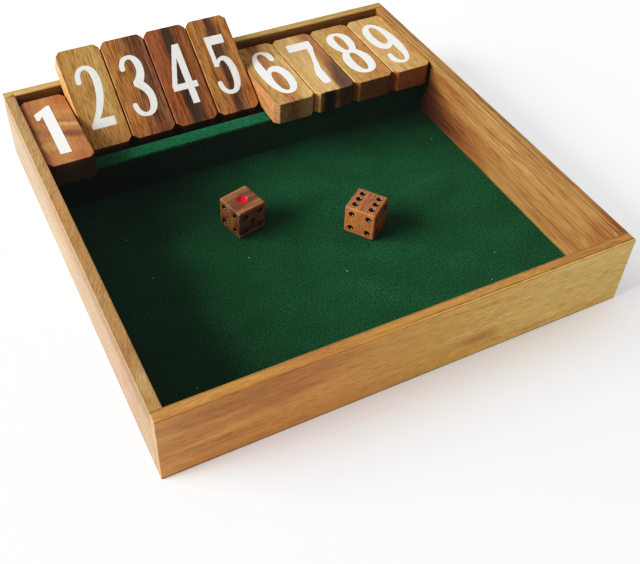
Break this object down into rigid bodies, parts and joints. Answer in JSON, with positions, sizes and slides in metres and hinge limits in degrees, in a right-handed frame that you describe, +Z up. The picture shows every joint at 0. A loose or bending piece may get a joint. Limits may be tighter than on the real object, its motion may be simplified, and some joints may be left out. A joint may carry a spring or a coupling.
{
  "type": "shut the box game",
  "caption": "Square wooden tray with a felt floor, a row of wooden number tiles that turn over on a hidden rod, and loose wooden dice.",
  "frame": {"origin": "middle of the tray's flat base, on the surface it stands on", "axes": "+Z up, +Y from the player towards the tiles and the back wall, +X to the player's right"},
  "size_m": [0.25, 0.2556, 0.0609],
  "materials": {
    "wall_wood": "fine sanded golden brown hardwood, thin satin lacquer",
    "floor_wood": "plain pale plywood and strip wood, sanded",
    "green_felt": "short dense green felt",
    "rod_steel": "drawn steel",
    "red_wood": "reddish brown hardwood, satin lacquer",
    "gold_wood": "golden brown hardwood, satin lacquer",
    "brown_wood": "mid brown hardwood with dark streaks, satin lacquer",
    "dark_wood": "dark brown hardwood with black-brown bands, satin lacquer",
    "dice_wood": "brown hardwood, satin lacquer",
    "white_paint": "thin white screen paint, the wood's pores show through",
    "black_paint": "glossy black enamel in the small pips",
    "red_paint": "glossy red enamel in the single pip"
  },
  "bodies": {
    "tray": {"front_wall": "wall_wood", "back_wall": "wall_wood", "left_wall": "wall_wood", "right_wall": "wall_wood", "floor_board": "floor_wood", "floor_felt": "green_felt", "tile_rail": "floor_wood", "rail_felt": "green_felt", "tile_rod": "rod_steel"},
    "tile_1": {"tile_1": "red_wood"},
    "tile_2": {"tile_2": "gold_wood"},
    "tile_3": {"tile_3": "dark_wood"},
    "tile_4": {"tile_4": "dark_wood"},
    "tile_5": {"tile_5": "dark_wood"},
    "tile_6": {"tile_6": "brown_wood"},
    "tile_7": {"tile_7": "brown_wood"},
    "tile_8": {"tile_8": "gold_wood"},
    "tile_9": {"tile_9": "gold_wood"},
    "left_die": {"left_die": "dice_wood"},
    "right_die": {"right_die": "dice_wood"}
  },
  "joints": [
    {"name": "tile_1_turn", "type": "hinge", "parent": "tray", "child": "tile_1", "pos_m": [0, 0.09199, 0.0333], "axis": [-1, 0, 0], "range_deg": [0, 148]},
    {"name": "tile_2_turn", "type": "hinge", "parent": "tray", "child": "tile_2", "pos_m": [0, 0.09199, 0.0333], "axis": [-1, 0, 0], "range_deg": [-148, 0]},
    {"name": "tile_3_turn", "type": "hinge", "parent": "tray", "child": "tile_3", "pos_m": [0, 0.09199, 0.0333], "axis": [-1, 0, 0], "range_deg": [-148, 0]},
    {"name": "tile_4_turn", "type": "hinge", "parent": "tray", "child": "tile_4", "pos_m": [0, 0.09199, 0.0333], "axis": [-1, 0, 0], "range_deg": [-148, 0]},
    {"name": "tile_5_turn", "type": "hinge", "parent": "tray", "child": "tile_5", "pos_m": [0, 0.09199, 0.0333], "axis": [-1, 0, 0], "range_deg": [-148, 0]},
    {"name": "tile_6_turn", "type": "hinge", "parent": "tray", "child": "tile_6", "pos_m": [0, 0.09199, 0.0333], "axis": [-1, 0, 0], "range_deg": [0, 148]},
    {"name": "tile_7_turn", "type": "hinge", "parent": "tray", "child": "tile_7", "pos_m": [0, 0.09199, 0.0333], "axis": [-1, 0, 0], "range_deg": [0, 148]},
    {"name": "tile_8_turn", "type": "hinge", "parent": "tray", "child": "tile_8", "pos_m": [0, 0.09199, 0.0333], "axis": [-1, 0, 0], "range_deg": [0, 148]},
    {"name": "tile_9_turn", "type": "hinge", "parent": "tray", "child": "tile_9", "pos_m": [0, 0.09199, 0.0333], "axis": [-1, 0, 0], "range_deg": [0, 148]},
    {"name": "left_die_lift", "type": "slide", "parent": "tray", "child": "left_die", "axis": [0, 0, 1], "range_m": [0, 0.06]},
    {"name": "right_die_lift", "type": "slide", "parent": "tray", "child": "right_die", "axis": [0, 0, 1], "range_m": [0, 0.06]}
  ]
}
